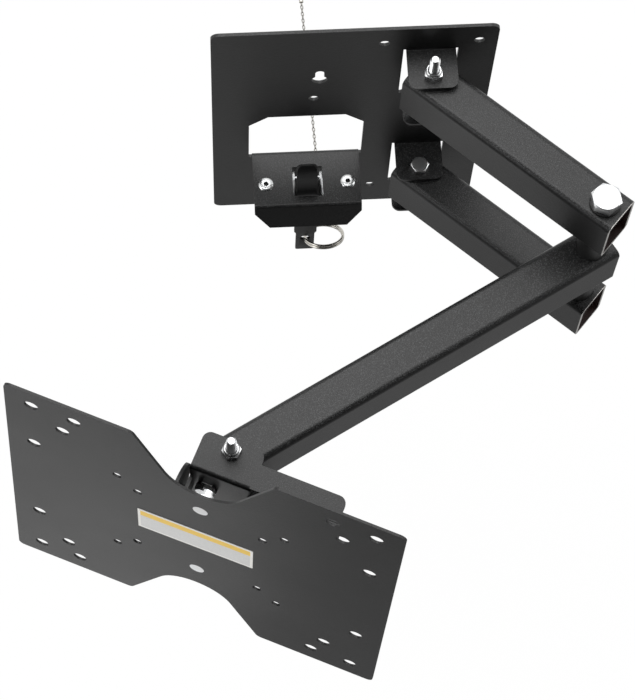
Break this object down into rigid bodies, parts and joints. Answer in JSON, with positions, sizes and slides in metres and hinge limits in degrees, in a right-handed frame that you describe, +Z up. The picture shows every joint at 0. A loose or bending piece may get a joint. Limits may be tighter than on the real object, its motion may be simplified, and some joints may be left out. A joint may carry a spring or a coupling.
{
  "type": "swivel tv wall mount",
  "caption": "Wall mount for a flat screen: folded wall plate with pull latch, twin tube arm, forearm, swivel and tilt head, and a notched screen plate.",
  "frame": {"origin": "centre of the four wall holes, on the back face of the wall plate", "axes": "+Y into the wall, +Z up, +X along the wall"},
  "size_m": [0.3647, 0.4816, 0.2663],
  "materials": {
    "wall_coat": "fine textured black powder coat",
    "arm_coat": "fine textured black powder coat",
    "forearm_coat": "fine textured black powder coat",
    "bracket_coat": "fine textured black powder coat",
    "tilt_coat": "fine textured black powder coat",
    "screen_coat": "fine textured black powder coat",
    "latch_coat": "fine textured black powder coat",
    "rivet_zinc": "bright zinc plate",
    "bolt_zinc": "bright zinc plate",
    "nut_zinc": "bright zinc plate",
    "washer_zinc": "bright zinc plate",
    "elbow_zinc": "bright zinc plate",
    "lock_zinc": "bright zinc plate",
    "stud_zinc": "bright zinc plate",
    "housing_zinc": "bright zinc plate",
    "spring_steel": "drawn wire",
    "ring_nickel": "bright nickel plate",
    "chain_nickel": "bright nickel plate",
    "washer_nylon": "black nylon",
    "spacer_nylon": "black nylon",
    "bush_nylon": "black nylon",
    "elbow_spacer": "black nylon",
    "label_film": "satin film"
  },
  "bodies": {
    "wall": {"wall_plate": "wall_coat", "clevis_bolts": "bolt_zinc", "clevis_nuts": "nut_zinc", "clevis_washers": "washer_nylon", "clevis_spacers": "spacer_nylon", "latch_housing": "housing_zinc", "latch_pin": "rivet_zinc", "latch_rivets": "rivet_zinc", "latch_spring": "spring_steel"},
    "arm": {"upper_arm_tube": "arm_coat", "lower_arm_tube": "arm_coat", "arm_bushes": "bush_nylon", "elbow_bolt": "elbow_zinc", "elbow_cap_washer": "elbow_spacer", "elbow_nut": "nut_zinc", "elbow_washer": "washer_zinc", "elbow_spacers": "elbow_spacer"},
    "forearm": {"forearm_tube": "forearm_coat", "elbow_bush": "bush_nylon", "head_bush": "bush_nylon"},
    "head": {"swivel_bracket": "bracket_coat", "swivel_bolt": "bolt_zinc", "swivel_nut": "nut_zinc", "swivel_washers": "washer_nylon", "swivel_lock_bolt": "lock_zinc", "swivel_lock_nut": "nut_zinc"},
    "screen_side": {"tilt_bracket": "tilt_coat", "screen_plate": "screen_coat", "plate_studs": "stud_zinc", "stud_nuts": "nut_zinc", "tilt_bolt": "bolt_zinc", "tilt_nut": "nut_zinc", "tilt_washers": "washer_nylon", "plate_label": "label_film"},
    "latch": {"latch_bolt": "latch_coat"},
    "pull": {"split_ring": "ring_nickel", "pull_chain": "chain_nickel", "chain_fitting": "chain_nickel"}
  },
  "joints": [
    {"name": "arm_swing", "type": "hinge", "parent": "wall", "child": "arm", "pos_m": [0, -0.0185, 0], "axis": [0, 0, 1], "range_deg": [-60, 42]},
    {"name": "elbow_fold", "type": "hinge", "parent": "arm", "child": "forearm", "pos_m": [0.09188, -0.10103, 0], "axis": [0, 0, -1], "range_deg": [-100, 40]},
    {"name": "head_swivel", "type": "hinge", "parent": "forearm", "child": "head", "pos_m": [-0.12495, -0.2189, 0], "axis": [0, 0, 1], "range_deg": [-110, 43]},
    {"name": "screen_tilt", "type": "hinge", "parent": "head", "child": "screen_side", "pos_m": [-0.1373, -0.24547, 0.00225], "axis": [0.9069, -0.4214, 0], "range_deg": [0, 20]},
    {"name": "latch_slide", "type": "slide", "parent": "wall", "child": "latch", "axis": [0, 0, 1], "range_m": [-0.011, 0], "stiffness_N_per_m": 300, "springref_m": 0.01, "deforming": ["latch_spring"]},
    {"name": "ring_swing", "type": "hinge", "parent": "latch", "child": "pull", "pos_m": [-0.069, -0.0232, -0.1296], "axis": [0, 1, 0], "range_deg": [-10, 95]}
  ]
}
